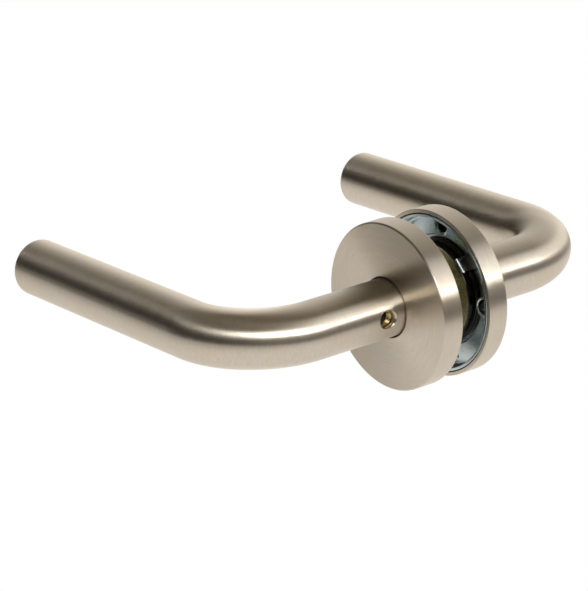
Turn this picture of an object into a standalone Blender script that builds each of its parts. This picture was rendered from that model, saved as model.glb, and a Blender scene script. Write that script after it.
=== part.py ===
"""Pair of lever door handles on round sprung roses, back to back on one square spindle.

The spindle's axis is Y and passes through the origin, midway between the two roses. The outside
set lies towards -Y and the inside set towards +Y. Both grips point along -X, and +Z is up.

Each set is modelled in a frame of its own: local Z is the depth, which starts at the plane where
the rose meets the door and grows towards the grip, and local X is the object's X. Angles round
the spindle are in degrees from +X towards the object's +Z.
"""
import math

import bmesh
import bpy
from mathutils import Matrix

MM = 0.001

# Overall sizes.
ROSE_RADIUS = 27.5 * MM
ROSE_GAP = 11.5 * MM            # between the backs of the two roses
TUBE_RADIUS = 9.5 * MM
TUBE_WALL = 1.5 * MM
NECK_LENGTH = 30.0 * MM         # from the rose's face to the bend
BEND_RADIUS = 27.0 * MM         # on the tube's centreline
GRIP_REACH = 112.0 * MM         # from the spindle's axis to the grip's end
LEVER_TRAVEL = 45.0             # degrees, from rest to fully pressed

# Square spindle and the screw that grips it.
SPINDLE_SIDE = 8.0 * MM
SPINDLE_LENGTH = 90.0 * MM
SPINDLE_CHAMFER = 0.5 * MM
GRUB_FROM_FACE = 6.9 * MM       # from the rose's face to the screw's axis
GRUB_RADIUS = 2.5 * MM
GRUB_LENGTH = 3.0 * MM
GRUB_ACCESS_RADIUS = 3.0 * MM   # the hole in the tube's wall
HEX_KEY = 2.5 * MM              # across flats
HEX_DEPTH = 1.6 * MM

# Clearances.
TOUCH = 0.3 * MM                # between pieces that touch or run on each other
NECK_CLEARANCE = 0.6 * MM       # round the tube where it passes through the cover

# Rose cover and mounting plate.
COVER_WALL = 1.2 * MM
COVER_EDGE = 0.6 * MM
PLATE_WALL = 1.0 * MM
WELL_STEP = 0.9 * MM            # how much deeper the plate is under the spring housing
FIXING_HOLE_RADIUS = 2.4 * MM
COLLAR_RADIUS = 3.1 * MM
COLLAR_HEIGHT = 1.6 * MM
HOLE_ANGLES = (90.0, 270.0)     # plain screw holes
COLLAR_ANGLES = (0.0, 180.0)    # raised screw holes
LUG_ANGLES = (43.0, 163.0, 283.0)
LUG_WIDTH = 5.0 * MM
LUG_THICKNESS = 0.7 * MM
LUG_INSET = 0.1 * MM            # how far the lugs' tips stay behind the door plane
LUG_HOOK = 2.1 * MM             # how far a lug's tip bends in over the housing
WINDOW_LENGTH = 4.2 * MM        # the opening that each lug was bent out of
WINDOW_MARGIN = 0.3 * MM

# Spring housing, spring and drive ring.
HOUSING_WALL = 0.7 * MM
HOUSING_FLANGE = 1.0 * MM
SPRING_WIRE = 1.2 * MM
SPRING_TURNS = 1.25
SPRING_COIL_GAP = 0.32 * MM
SPRING_MARGIN = 1.1 * MM        # radial room each side of the coil
SPRING_START = 230.0            # degrees, where the fixed leg leaves the coil
LEG_BEND = 1.2 * MM
LEG_SLOT = 1.8 * MM             # width of the housing's slot for the fixed leg
DRIVE_THICKNESS = 1.5 * MM
DRIVE_RECESS = 2.6 * MM         # depth of the rim's recess that the stop works in
STOP_ANGLE = 250.0
STOP_WIDTH = 3.0 * MM
STOP_CLEARANCE = 2.0            # degrees each side of the stop

# Bush, core, washer and retaining ring.
BUSH_WALL = 1.4 * MM
BUSH_LIP = 1.0 * MM
BUSH_FLANGE = 0.7 * MM
CORE_SHOULDER = 0.7 * MM
CORE_DEPTH = 28.0 * MM          # how far the core reaches into the neck
FLAT_DEPTH = 0.9 * MM           # the two flats that turn the drive ring
GROOVE_DEPTH = 1.0 * MM
GROOVE_LAND = 0.6 * MM          # what is left of the core behind the groove
WASHER_THICKNESS = 0.6 * MM
WASHER_WIDTH = 3.0 * MM
RING_THICKNESS = 0.8 * MM
RING_WIDTH = 2.6 * MM
RING_EAR = 1.5 * MM
RING_GAP_ANGLE = 24.0
RING_EAR_ANGLE = 13.0
RING_EYE = 0.6 * MM

# Grip cap.
CAP_THICKNESS = 3.0 * MM
CAP_EDGE = 2.0 * MM
CAP_SPIGOT = 6.0 * MM

# Depths of the stacked pieces, from the door plane to the rose's face.
HOUSING_FACE = LUG_INSET + LUG_THICKNESS + TOUCH
HOUSING_INNER = HOUSING_FACE + HOUSING_WALL
DRIVE_BACK = HOUSING_INNER + TOUCH
DRIVE_FRONT = DRIVE_BACK + DRIVE_THICKNESS
SHOULDER_BACK = DRIVE_FRONT + TOUCH
SHOULDER_FRONT = SHOULDER_BACK + CORE_SHOULDER
TUBE_END = SHOULDER_FRONT + TOUCH
SPRING_RISE = SPRING_TURNS * (SPRING_WIRE + SPRING_COIL_GAP)
WELL_FLOOR = HOUSING_INNER + 2 * TOUCH + SPRING_WIRE + SPRING_RISE
WELL_FRONT = WELL_FLOOR + PLATE_WALL
RIM_FLOOR = WELL_FLOOR - WELL_STEP
COVER_INNER = WELL_FRONT + TOUCH
ROSE_DEPTH = COVER_INNER + COVER_WALL
HOUSING_RIM = WELL_FLOOR - TOUCH
WASHER_FRONT = HOUSING_FACE - TOUCH
WASHER_BACK = WASHER_FRONT - WASHER_THICKNESS
RING_FRONT = WASHER_BACK - TOUCH
RING_BACK = RING_FRONT - RING_THICKNESS
CORE_BACK = RING_BACK - TOUCH - GROOVE_LAND
GRUB_DEPTH = ROSE_DEPTH + GRUB_FROM_FACE
BEND_DEPTH = ROSE_DEPTH + NECK_LENGTH
GRIP_DEPTH = BEND_DEPTH + BEND_RADIUS

# Radii of the nested pieces, from the spindle outwards.
SOCKET_HALF = SPINDLE_SIDE / 2 + TOUCH
BOSS_RADIUS = TUBE_RADIUS - TUBE_WALL - TOUCH
GROOVE_RADIUS = BOSS_RADIUS - GROOVE_DEPTH
BOSS_HOLE = BOSS_RADIUS + TOUCH
COVER_HOLE = TUBE_RADIUS + NECK_CLEARANCE
BUSH_BORE = TUBE_RADIUS + TOUCH
BUSH_RADIUS = BUSH_BORE + BUSH_WALL
PLATE_HOLE = BUSH_RADIUS + TOUCH
BUSH_FLANGE_RADIUS = BUSH_RADIUS + BUSH_LIP
DRIVE_RADIUS = BUSH_FLANGE_RADIUS - TOUCH
SPRING_INNER = BUSH_FLANGE_RADIUS + SPRING_MARGIN
SPRING_RADIUS = SPRING_INNER + SPRING_WIRE / 2
HOUSING_BORE = SPRING_INNER + SPRING_WIRE + SPRING_MARGIN
HOUSING_RADIUS = HOUSING_BORE + HOUSING_WALL
FLANGE_RADIUS = HOUSING_RADIUS + HOUSING_FLANGE
LUG_INNER = FLANGE_RADIUS + TOUCH
WELL_RADIUS = LUG_INNER + LUG_THICKNESS
CUP_RADIUS = ROSE_RADIUS - COVER_WALL - TOUCH
CUP_BORE = CUP_RADIUS - PLATE_WALL
FIXING_RADIUS = (WELL_RADIUS + CUP_BORE) / 2

# Facets.
LARGE_STEPS = 40                # of a turned piece as wide as the rose
SMALL_STEPS = 24                # of a turned piece as wide as the tube
HOLE_STEPS = 16
HEXAGON_STEPS = 6
COVER_EDGE_STEPS = 3
CAP_EDGE_STEPS = 4
BEND_STEPS = 10
COIL_STEPS_PER_TURN = 24
LEG_STEPS = 4
DRIVE_RIM_STEPS = 12            # of each stretch of the drive ring's rim
DRIVE_BORE_STEPS = 10           # of each round side of the drive ring's bore
RING_STEPS = 30
RING_EAR_STEPS = 3
RING_EYE_STEPS = 8
TUBE_BEVEL_RESOLUTION = 10
WIRE_BEVEL_RESOLUTION = 2
CREASE_ANGLE = 35.0             # degrees; a sharper edge is shaded flat
CUT_PAST = 1.0 * MM             # how far a cutter reaches past what it cuts

# Colour, roughness and metallic value of each finish.
FINISHES = {
    "satin_stainless": ((0.62, 0.56, 0.50), 0.32, 1.0),
    "zinc_plate": ((0.55, 0.60, 0.62), 0.22, 1.0),
    "yellow_passivated": ((0.42, 0.38, 0.16), 0.30, 1.0),
    "turned_brass": ((0.66, 0.52, 0.28), 0.35, 1.0),
    "black_nylon": ((0.03, 0.03, 0.032), 0.50, 0.0),
    "spring_steel": ((0.30, 0.30, 0.31), 0.35, 1.0),
    "blackened_steel": ((0.10, 0.10, 0.11), 0.45, 1.0),
}


def clear_scene():
    """Remove every object that a new scene starts with."""
    for obj in list(bpy.data.objects):
        bpy.data.objects.remove(obj, do_unlink=True)


def make_collection(name):
    """Return a new collection linked to the scene."""
    collection = bpy.data.collections.new(name)
    bpy.context.scene.collection.children.link(collection)
    return collection


def make_material(name):
    """Return the material of one finish."""
    colour, roughness, metallic = FINISHES[name]
    material = bpy.data.materials.new(name)
    material.use_nodes = True
    shader = material.node_tree.nodes["Principled BSDF"]
    shader.inputs["Base Color"].default_value = (*colour, 1.0)
    shader.inputs["Roughness"].default_value = roughness
    shader.inputs["Metallic"].default_value = metallic
    return material


def polar(radius, degrees):
    """Return the x and y of a point at this radius and angle."""
    angle = math.radians(degrees)
    return radius * math.cos(angle), radius * math.sin(angle)


def arc(radius, start, end, steps):
    """Return points on an arc, both ends included."""
    return [polar(radius, start + (end - start) * i / steps) for i in range(steps + 1)]


def evaluated_mesh(obj):
    """Return a new mesh of an object as its modifiers leave it."""
    bpy.context.view_layer.update()
    depsgraph = bpy.context.evaluated_depsgraph_get()
    return bpy.data.meshes.new_from_object(obj.evaluated_get(depsgraph))


class HandleSet:
    """One lever set: its name, its frame and the collections that its pieces go in."""

    def __init__(self, name, side, parts, cutters):
        self.name = name
        self.side = side
        self.parts = parts
        self.cutters = cutters
        self.frame = bpy.data.objects.new(name + "_frame", None)
        self.frame.location = (0.0, side * ROSE_GAP / 2, 0.0)
        self.frame.rotation_euler = (-side * math.pi / 2, 0.0, 0.0)
        parts.objects.link(self.frame)

    def local(self, degrees):
        """Return an angle round the spindle as this frame measures it."""
        return -self.side * degrees

    def place(self, obj, matrix=Matrix()):
        """Put a piece or a cutter in this set's frame."""
        obj.parent = self.frame
        obj.matrix_basis = matrix
        return obj

    def add(self, name, data, matrix=Matrix()):
        """Make a piece of this set from a mesh or a curve."""
        obj = bpy.data.objects.new(self.name + "_" + name, data)
        self.parts.objects.link(obj)
        return self.place(obj, matrix)

    def add_cutter(self, name, mesh, matrix=Matrix()):
        """Make a cutter in this set's frame."""
        obj = bpy.data.objects.new(self.name + "_" + name + "_cutter", mesh)
        self.cutters.objects.link(obj)
        obj.hide_render = True
        obj.display_type = "WIRE"
        return self.place(obj, matrix)


def profile_mesh(name, profile, closed):
    """Return a wire mesh of (radius, depth) points, which go down the outer side."""
    count = len(profile)
    edges = [(i, i + 1) for i in range(count - 1)]
    if closed:
        edges.append((count - 1, 0))
    mesh = bpy.data.meshes.new(name)
    mesh.from_pydata([(radius, 0.0, depth) for radius, depth in profile], edges, [])
    return mesh


def add_screw(obj, steps):
    """Turn a profile about local Z."""
    screw = obj.modifiers.new("turn", "SCREW")
    screw.axis = "Z"
    screw.steps = steps
    screw.render_steps = steps
    screw.use_merge_vertices = True
    screw.merge_threshold = 0.00001
    return obj


def cylinder_mesh(name, radius, low, high, steps):
    """Return a cylinder on local Z, from low to high."""
    mesh = bpy.data.meshes.new(name)
    shape = bmesh.new()
    middle = Matrix.Translation((0.0, 0.0, (low + high) / 2))
    bmesh.ops.create_cone(shape, cap_ends=True, segments=steps, radius1=radius, radius2=radius,
                          depth=high - low, matrix=middle)
    shape.to_mesh(mesh)
    shape.free()
    return mesh


def box_mesh(name, low, high):
    """Return a box between two corners."""
    mesh = bpy.data.meshes.new(name)
    shape = bmesh.new()
    size = [b - a for a, b in zip(low, high)]
    middle = [(a + b) / 2 for a, b in zip(low, high)]
    matrix = Matrix.Translation(middle) @ Matrix.Diagonal((*size, 1.0))
    bmesh.ops.create_cube(shape, size=1.0, matrix=matrix)
    shape.to_mesh(mesh)
    shape.free()
    return mesh


def outline_mesh(name, outlines, low, high):
    """Return a flat plate from closed outlines, where an inner outline is a hole."""
    curve = bpy.data.curves.new(name, "CURVE")
    curve.dimensions = "2D"
    curve.fill_mode = "BOTH"
    curve.extrude = (high - low) / 2
    for outline in outlines:
        spline = curve.splines.new("POLY")
        spline.points.add(len(outline) - 1)
        for point, (x, y) in zip(spline.points, outline):
            point.co = (x, y, 0.0, 1.0)
        spline.use_cyclic_u = True
    holder = bpy.data.objects.new(name, curve)
    bpy.context.scene.collection.objects.link(holder)
    mesh = evaluated_mesh(holder)
    bpy.data.objects.remove(holder, do_unlink=True)
    weld(mesh)
    mesh.transform(Matrix.Translation((0.0, 0.0, (low + high) / 2)))
    return mesh


def wire_curve(name, points, radius, bevel_resolution, caps):
    """Return a round wire or tube surface that follows a list of points."""
    curve = bpy.data.curves.new(name, "CURVE")
    curve.dimensions = "3D"
    curve.bevel_depth = radius
    curve.bevel_resolution = bevel_resolution
    curve.use_fill_caps = caps
    spline = curve.splines.new("POLY")
    spline.points.add(len(points) - 1)
    for point, place in zip(spline.points, points):
        point.co = (*place, 1.0)
    return curve


def weld(mesh):
    """Join the points that lie on one another."""
    shape = bmesh.new()
    shape.from_mesh(mesh)
    bmesh.ops.remove_doubles(shape, verts=shape.verts, dist=0.000001)
    shape.to_mesh(mesh)
    shape.free()


def mesh_from_curve(obj):
    """Replace a curve object's data with its welded mesh."""
    mesh = evaluated_mesh(obj)
    weld(mesh)
    name = obj.name
    collection = obj.users_collection[0]
    piece = bpy.data.objects.new(name, mesh)
    collection.objects.link(piece)
    piece.parent = obj.parent
    piece.matrix_basis = obj.matrix_basis.copy()
    bpy.data.objects.remove(obj, do_unlink=True)
    piece.name = name
    return piece


def boolean(obj, other, operation="DIFFERENCE"):
    """Cut an object with another, or join them."""
    modifier = obj.modifiers.new(operation.lower(), "BOOLEAN")
    modifier.operation = operation
    modifier.solver = "EXACT"
    modifier.object = other
    return obj


def settle(obj, material):
    """Turn the modifiers into the piece's own mesh, shade it and give it its material."""
    mesh = evaluated_mesh(obj)
    obj.modifiers.clear()
    obj.data = mesh
    mesh.materials.clear()
    mesh.materials.append(material)
    mesh.shade_smooth()
    mesh.set_sharp_from_angle(angle=math.radians(CREASE_ANGLE))
    return obj


def turned_piece(handle, name, profile, material, steps=LARGE_STEPS, closed=True):
    """Make a plain turned piece of a set."""
    piece = handle.add(name, profile_mesh(name, profile, closed))
    return settle(add_screw(piece, steps), material)


def make_lever_tube(handle, material):
    """Bent tube: a straight neck through the rose, a wide bend and a straight grip."""
    bend = [(BEND_RADIUS * math.cos(a) - BEND_RADIUS, 0.0, BEND_DEPTH + BEND_RADIUS * math.sin(a))
            for a in (math.pi / 2 * i / BEND_STEPS for i in range(BEND_STEPS + 1))]
    grip_end = -(GRIP_REACH - CAP_THICKNESS - TOUCH)
    path = [(0.0, 0.0, TUBE_END)] + bend + [(grip_end, 0.0, GRIP_DEPTH)]
    curve = wire_curve("lever_tube", path, TUBE_RADIUS, TUBE_BEVEL_RESOLUTION, False)
    tube = mesh_from_curve(handle.add("lever_tube", curve))
    wall = tube.modifiers.new("wall", "SOLIDIFY")
    wall.thickness = TUBE_WALL
    wall.offset = -1.0
    hole = cylinder_mesh("screw_access", GRUB_ACCESS_RADIUS, 0.0, TUBE_RADIUS + CUT_PAST,
                         HOLE_STEPS)
    boolean(tube, handle.add_cutter("screw_access", hole, grub_matrix()))
    return settle(tube, material)


def grub_matrix():
    """Place of a piece whose local Z is the grub screw's axis, pointing out through the neck."""
    return Matrix.Translation((0.0, 0.0, GRUB_DEPTH)) @ Matrix.Rotation(math.pi / 2, 4, "Y")


def make_grip_cap(handle, material):
    """Closed end of the grip, with a rounded edge and a spigot inside the tube."""
    edge = [(TUBE_RADIUS - CAP_EDGE + x, CAP_THICKNESS - CAP_EDGE + y)
            for x, y in reversed(arc(CAP_EDGE, 0.0, 90.0, CAP_EDGE_STEPS))]
    profile = [(0.0, CAP_THICKNESS)] + edge + [
        (TUBE_RADIUS, 0.0), (BOSS_RADIUS, 0.0), (BOSS_RADIUS, -CAP_SPIGOT), (0.0, -CAP_SPIGOT)]
    place = (Matrix.Translation((-(GRIP_REACH - CAP_THICKNESS), 0.0, GRIP_DEPTH))
             @ Matrix.Rotation(-math.pi / 2, 4, "Y"))
    cap = handle.add("grip_cap", profile_mesh("grip_cap", profile, False), place)
    return settle(add_screw(cap, SMALL_STEPS), material)


def make_core(handle, material):
    """Core of the neck: it holds the square spindle and turns the drive ring with two flats."""
    groove_back = RING_BACK - TOUCH
    groove_front = RING_FRONT + TOUCH
    profile = [(0.0, CORE_DEPTH), (BOSS_RADIUS, CORE_DEPTH), (BOSS_RADIUS, SHOULDER_FRONT),
               (TUBE_RADIUS, SHOULDER_FRONT), (TUBE_RADIUS, SHOULDER_BACK),
               (BOSS_RADIUS, SHOULDER_BACK), (BOSS_RADIUS, groove_front),
               (GROOVE_RADIUS, groove_front), (GROOVE_RADIUS, groove_back),
               (BOSS_RADIUS, groove_back), (BOSS_RADIUS, CORE_BACK), (0.0, CORE_BACK)]
    core = handle.add("neck_core", profile_mesh("neck_core", profile, False))
    add_screw(core, SMALL_STEPS)
    socket = box_mesh("socket", (-SOCKET_HALF, -SOCKET_HALF, CORE_BACK - CUT_PAST),
                      (SOCKET_HALF, SOCKET_HALF, CORE_DEPTH + CUT_PAST))
    boolean(core, handle.add_cutter("socket", socket))
    flat = BOSS_RADIUS - FLAT_DEPTH
    for number, side in enumerate((-1, 1), 1):
        near, far = sorted((side * flat, side * (BOSS_RADIUS + CUT_PAST)))
        slab = box_mesh("flat", (-TUBE_RADIUS, near, CORE_BACK - CUT_PAST),
                        (TUBE_RADIUS, far, SHOULDER_BACK))
        boolean(core, handle.add_cutter("flat_%d" % number, slab))
    thread = cylinder_mesh("thread", GRUB_RADIUS + TOUCH, 0.0, BOSS_RADIUS + CUT_PAST, HOLE_STEPS)
    boolean(core, handle.add_cutter("thread", thread, grub_matrix()))
    return settle(core, material)


def make_grub_screw(handle, material):
    """Headless screw that grips the spindle, with a hexagon socket."""
    near = SOCKET_HALF
    far = near + GRUB_LENGTH
    body = cylinder_mesh("grub_screw", GRUB_RADIUS, near, far, HOLE_STEPS)
    screw = handle.add("grub_screw", body, grub_matrix())
    hexagon = cylinder_mesh("hexagon", HEX_KEY / math.sqrt(3.0), far - HEX_DEPTH, far + CUT_PAST,
                            HEXAGON_STEPS)
    boolean(screw, handle.add_cutter("hexagon", hexagon, grub_matrix()))
    return settle(screw, material)


def make_rose_cover(handle, material):
    """Shallow round cover with a hole for the neck."""
    edge = [(ROSE_RADIUS - COVER_EDGE + x, ROSE_DEPTH - COVER_EDGE + y)
            for x, y in reversed(arc(COVER_EDGE, 0.0, 90.0, COVER_EDGE_STEPS))]
    inner = ROSE_RADIUS - COVER_WALL
    profile = [(COVER_HOLE, ROSE_DEPTH)] + edge + [
        (ROSE_RADIUS, 0.0), (inner, 0.0), (inner, COVER_INNER), (COVER_HOLE, COVER_INNER)]
    return turned_piece(handle, "rose_cover", profile, material)


def turn_about_axis(degrees):
    """Rotation about local Z."""
    return Matrix.Rotation(math.radians(degrees), 4, "Z")


def make_mounting_plate(handle, material):
    """Pressed cup that is fixed to the door, with screw holes and lugs over the housing."""
    profile = [(PLATE_HOLE, WELL_FRONT), (WELL_RADIUS + PLATE_WALL, WELL_FRONT),
               (WELL_RADIUS + PLATE_WALL, RIM_FLOOR + PLATE_WALL),
               (CUP_RADIUS, RIM_FLOOR + PLATE_WALL), (CUP_RADIUS, 0.0), (CUP_BORE, 0.0),
               (CUP_BORE, RIM_FLOOR), (WELL_RADIUS, RIM_FLOOR), (WELL_RADIUS, WELL_FLOOR),
               (PLATE_HOLE, WELL_FLOOR)]
    plate = handle.add("mounting_plate", profile_mesh("mounting_plate", profile, True))
    add_screw(plate, LARGE_STEPS)
    for number, degrees in enumerate(COLLAR_ANGLES, 1):
        turn = turn_about_axis(handle.local(degrees)) @ Matrix.Translation((FIXING_RADIUS, 0, 0))
        collar = cylinder_mesh("collar", COLLAR_RADIUS, RIM_FLOOR - COLLAR_HEIGHT,
                               RIM_FLOOR + PLATE_WALL / 2, HOLE_STEPS)
        boolean(plate, handle.add_cutter("collar_%d" % number, collar, turn), "UNION")
    for number, degrees in enumerate(HOLE_ANGLES + COLLAR_ANGLES, 1):
        turn = turn_about_axis(handle.local(degrees)) @ Matrix.Translation((FIXING_RADIUS, 0, 0))
        hole = cylinder_mesh("fixing", FIXING_HOLE_RADIUS, RIM_FLOOR - COLLAR_HEIGHT - CUT_PAST,
                             WELL_FRONT + CUT_PAST, HOLE_STEPS)
        boolean(plate, handle.add_cutter("fixing_%d" % number, hole, turn))
    for number, degrees in enumerate(LUG_ANGLES, 1):
        turn = turn_about_axis(handle.local(degrees))
        window_half = LUG_WIDTH / 2 + WINDOW_MARGIN
        window = box_mesh("window", (WELL_RADIUS - LUG_THICKNESS / 4, -window_half, HOUSING_INNER),
                          (WELL_RADIUS + WINDOW_LENGTH, window_half, WELL_FRONT + CUT_PAST))
        boolean(plate, handle.add_cutter("window_%d" % number, window, turn))
        upright = box_mesh("upright", (LUG_INNER, -LUG_WIDTH / 2, LUG_INSET),
                           (WELL_RADIUS, LUG_WIDTH / 2, WELL_FLOOR + PLATE_WALL / 2))
        boolean(plate, handle.add_cutter("upright_%d" % number, upright, turn), "UNION")
        tip = box_mesh("tip", (LUG_INNER - LUG_HOOK, -LUG_WIDTH / 2 + TOUCH / 4, LUG_INSET),
                       (WELL_RADIUS - TOUCH / 4, LUG_WIDTH / 2 - TOUCH / 4,
                        LUG_INSET + LUG_THICKNESS))
        boolean(plate, handle.add_cutter("tip_%d" % number, tip, turn), "UNION")
    return settle(plate, material)


def make_bearing_bush(handle, material):
    """Flanged bush in the plate that the neck turns in."""
    flange_front = WELL_FLOOR - TOUCH
    flange_back = flange_front - BUSH_FLANGE
    profile = [(BUSH_BORE, WELL_FRONT), (BUSH_RADIUS, WELL_FRONT), (BUSH_RADIUS, flange_front),
               (BUSH_FLANGE_RADIUS, flange_front), (BUSH_FLANGE_RADIUS, flange_back),
               (BUSH_BORE, flange_back)]
    return turned_piece(handle, "bearing_bush", profile, material)


def make_spring_housing(handle, material):
    """Pressed cap over the spring, with the stop for the drive ring and a slot for the leg."""
    profile = [(HOUSING_BORE, HOUSING_RIM), (FLANGE_RADIUS, HOUSING_RIM),
               (FLANGE_RADIUS, HOUSING_RIM - HOUSING_WALL),
               (HOUSING_RADIUS, HOUSING_RIM - HOUSING_WALL), (HOUSING_RADIUS, HOUSING_FACE),
               (BOSS_HOLE, HOUSING_FACE), (BOSS_HOLE, HOUSING_INNER),
               (HOUSING_BORE, HOUSING_INNER)]
    housing = handle.add("spring_housing", profile_mesh("spring_housing", profile, True))
    add_screw(housing, LARGE_STEPS)
    stop_inner = DRIVE_RADIUS - DRIVE_RECESS + TOUCH
    stop = box_mesh("stop", (stop_inner, -STOP_WIDTH / 2, HOUSING_FACE + HOUSING_WALL / 2),
                    (DRIVE_RADIUS, STOP_WIDTH / 2, DRIVE_FRONT))
    turn = turn_about_axis(handle.local(STOP_ANGLE))
    boolean(housing, handle.add_cutter("stop", stop, turn), "UNION")
    slot_depth = HOUSING_RIM - SPRING_WIRE - TOUCH
    slot_middle = handle.side * LEG_BEND
    slot = box_mesh("leg_slot", (HOUSING_BORE - TOUCH, slot_middle - LEG_SLOT / 2, slot_depth),
                    (FLANGE_RADIUS + CUT_PAST, slot_middle + LEG_SLOT / 2,
                     HOUSING_RIM + CUT_PAST))
    turn = turn_about_axis(handle.local(SPRING_START))
    boolean(housing, handle.add_cutter("leg_slot", slot, turn))
    return settle(housing, material)


def spring_end():
    """Angle where the coil ends and the moving leg begins."""
    return SPRING_START + 360.0 * SPRING_TURNS


def spring_path():
    """Centreline of the spring: outer leg, coil and inner leg."""
    low = HOUSING_RIM - SPRING_WIRE / 2
    high = low - SPRING_RISE
    points = []
    outer_centre = SPRING_RADIUS + LEG_BEND
    start = math.radians(SPRING_START)
    leg_end = FLANGE_RADIUS - TOUCH
    corner = [math.pi / 2 * i / LEG_STEPS for i in range(LEG_STEPS + 1)]
    points.append((leg_end, -LEG_BEND, low))
    points += [(outer_centre - LEG_BEND * math.cos(a), -LEG_BEND * math.sin(a), low)
               for a in reversed(corner[1:])]
    points = [(x * math.cos(start) - y * math.sin(start),
               x * math.sin(start) + y * math.cos(start), z) for x, y, z in points]
    count = round(COIL_STEPS_PER_TURN * SPRING_TURNS)
    for i in range(count + 1):
        share = i / count
        x, y = polar(SPRING_RADIUS, SPRING_START + 360.0 * SPRING_TURNS * share)
        points.append((x, y, low + (high - low) * share))
    end = math.radians(spring_end())
    inner_centre = SPRING_RADIUS - LEG_BEND
    inner = [(inner_centre + LEG_BEND * math.cos(a), LEG_BEND * math.sin(a), high)
             for a in corner[1:]]
    inner.append((DRIVE_RADIUS - SPRING_WIRE, LEG_BEND, high))
    points += [(x * math.cos(end) - y * math.sin(end),
                x * math.sin(end) + y * math.cos(end), z) for x, y, z in inner]
    return points


def make_torsion_spring(handle, material):
    """Return spring: one leg in the housing's slot, the other in the drive ring's notch."""
    points = [(x, -handle.side * y, z) for x, y, z in spring_path()]
    curve = wire_curve("torsion_spring", points, SPRING_WIRE / 2, WIRE_BEVEL_RESOLUTION, True)
    spring = mesh_from_curve(handle.add("torsion_spring", curve))
    return settle(spring, material)


def stepped_outline(handle, radius, recesses, steps):
    """Outline of a disc whose rim drops to a smaller radius over each (start, end, radius)."""
    points = []
    start = 0.0
    for recess_start, recess_end, recess_radius in sorted(recesses):
        points += arc(radius, start, recess_start, steps)
        points += arc(recess_radius, recess_start, recess_end, steps)
        start = recess_end
    points += arc(radius, start, 360.0, steps)[:-1]
    return [(x, -handle.side * y) for x, y in points]


def make_drive_ring(handle, material):
    """Ring that turns with the core: its recess meets the stop at each end of the travel."""
    stop_half = math.degrees(math.atan2(STOP_WIDTH / 2, DRIVE_RADIUS - DRIVE_RECESS))
    margin = stop_half + STOP_CLEARANCE
    recess = (STOP_ANGLE - LEVER_TRAVEL - margin, STOP_ANGLE + margin,
              DRIVE_RADIUS - DRIVE_RECESS)
    leg_angle = (spring_end() % 360.0) + math.degrees(math.atan2(LEG_BEND, DRIVE_RADIUS))
    notch_half = math.degrees(math.atan2(SPRING_WIRE / 2 + TOUCH, DRIVE_RADIUS))
    notch = (leg_angle - notch_half, leg_angle + notch_half,
             DRIVE_RADIUS - SPRING_WIRE - 2 * TOUCH)
    rim = stepped_outline(handle, DRIVE_RADIUS, [recess, notch], DRIVE_RIM_STEPS)
    flat = BOSS_RADIUS - FLAT_DEPTH + TOUCH
    corner = math.degrees(math.asin(flat / BOSS_HOLE))
    bore = (arc(BOSS_HOLE, -corner, corner, DRIVE_BORE_STEPS)
            + arc(BOSS_HOLE, 180.0 - corner, 180.0 + corner, DRIVE_BORE_STEPS))
    mesh = outline_mesh("drive_ring", [rim, bore], DRIVE_BACK, DRIVE_FRONT)
    return settle(handle.add("drive_ring", mesh), material)


def make_thrust_washer(handle, material):
    """Washer between the housing and the retaining ring."""
    outer = BOSS_HOLE + WASHER_WIDTH
    profile = [(BOSS_HOLE, WASHER_FRONT), (outer, WASHER_FRONT), (outer, WASHER_BACK),
               (BOSS_HOLE, WASHER_BACK)]
    return turned_piece(handle, "thrust_washer", profile, material, SMALL_STEPS)


def make_retaining_ring(handle, material):
    """Open ring in the core's groove, with an eye at each end for circlip pliers."""
    bore = GROOVE_RADIUS + TOUCH
    outer = bore + RING_WIDTH
    ear = outer + RING_EAR
    opening = RING_GAP_ANGLE / 2
    first = opening + RING_EAR_ANGLE
    outline = (arc(ear, opening, first, RING_EAR_STEPS)
               + arc(outer, first, 360.0 - first, RING_STEPS)
               + arc(ear, 360.0 - first, 360.0 - opening, RING_EAR_STEPS)
               + arc(bore, 360.0 - opening, opening, RING_STEPS))
    eyes = []
    for middle in (opening + RING_EAR_ANGLE / 2, 360.0 - opening - RING_EAR_ANGLE / 2):
        x, y = polar((bore + ear) / 2, middle)
        eye = arc(RING_EYE, 0.0, 360.0, RING_EYE_STEPS)[:-1]
        eyes.append([(x + dx, y + dy) for dx, dy in eye])
    mesh = outline_mesh("retaining_ring", [outline] + eyes, RING_BACK, RING_FRONT)
    return settle(handle.add("retaining_ring", mesh), material)


def make_spindle(collection, material):
    """Square bar that joins the two levers through the door."""
    half = SPINDLE_SIDE / 2
    mesh = box_mesh("square_spindle", (-half, -SPINDLE_LENGTH / 2, -half),
                    (half, SPINDLE_LENGTH / 2, half))
    spindle = bpy.data.objects.new("square_spindle", mesh)
    collection.objects.link(spindle)
    chamfer = spindle.modifiers.new("chamfer", "BEVEL")
    chamfer.width = SPINDLE_CHAMFER
    chamfer.segments = 1
    return settle(spindle, material)


def make_set(handle, materials):
    """Build every piece of one lever set."""
    make_lever_tube(handle, materials["satin_stainless"])
    make_grip_cap(handle, materials["satin_stainless"])
    make_core(handle, materials["turned_brass"])
    make_grub_screw(handle, materials["blackened_steel"])
    make_rose_cover(handle, materials["satin_stainless"])
    make_mounting_plate(handle, materials["zinc_plate"])
    make_bearing_bush(handle, materials["black_nylon"])
    make_spring_housing(handle, materials["yellow_passivated"])
    make_torsion_spring(handle, materials["spring_steel"])
    make_drive_ring(handle, materials["yellow_passivated"])
    make_thrust_washer(handle, materials["zinc_plate"])
    make_retaining_ring(handle, materials["spring_steel"])


def main():
    """Build the whole handle pair."""
    clear_scene()
    parts = make_collection("lever_handle_set")
    cutters = make_collection("cutters")
    materials = {name: make_material(name) for name in FINISHES}
    make_set(HandleSet("outside", -1, parts, cutters), materials)
    make_set(HandleSet("inside", 1, parts, cutters), materials)
    make_spindle(parts, materials["zinc_plate"])


main()
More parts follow.
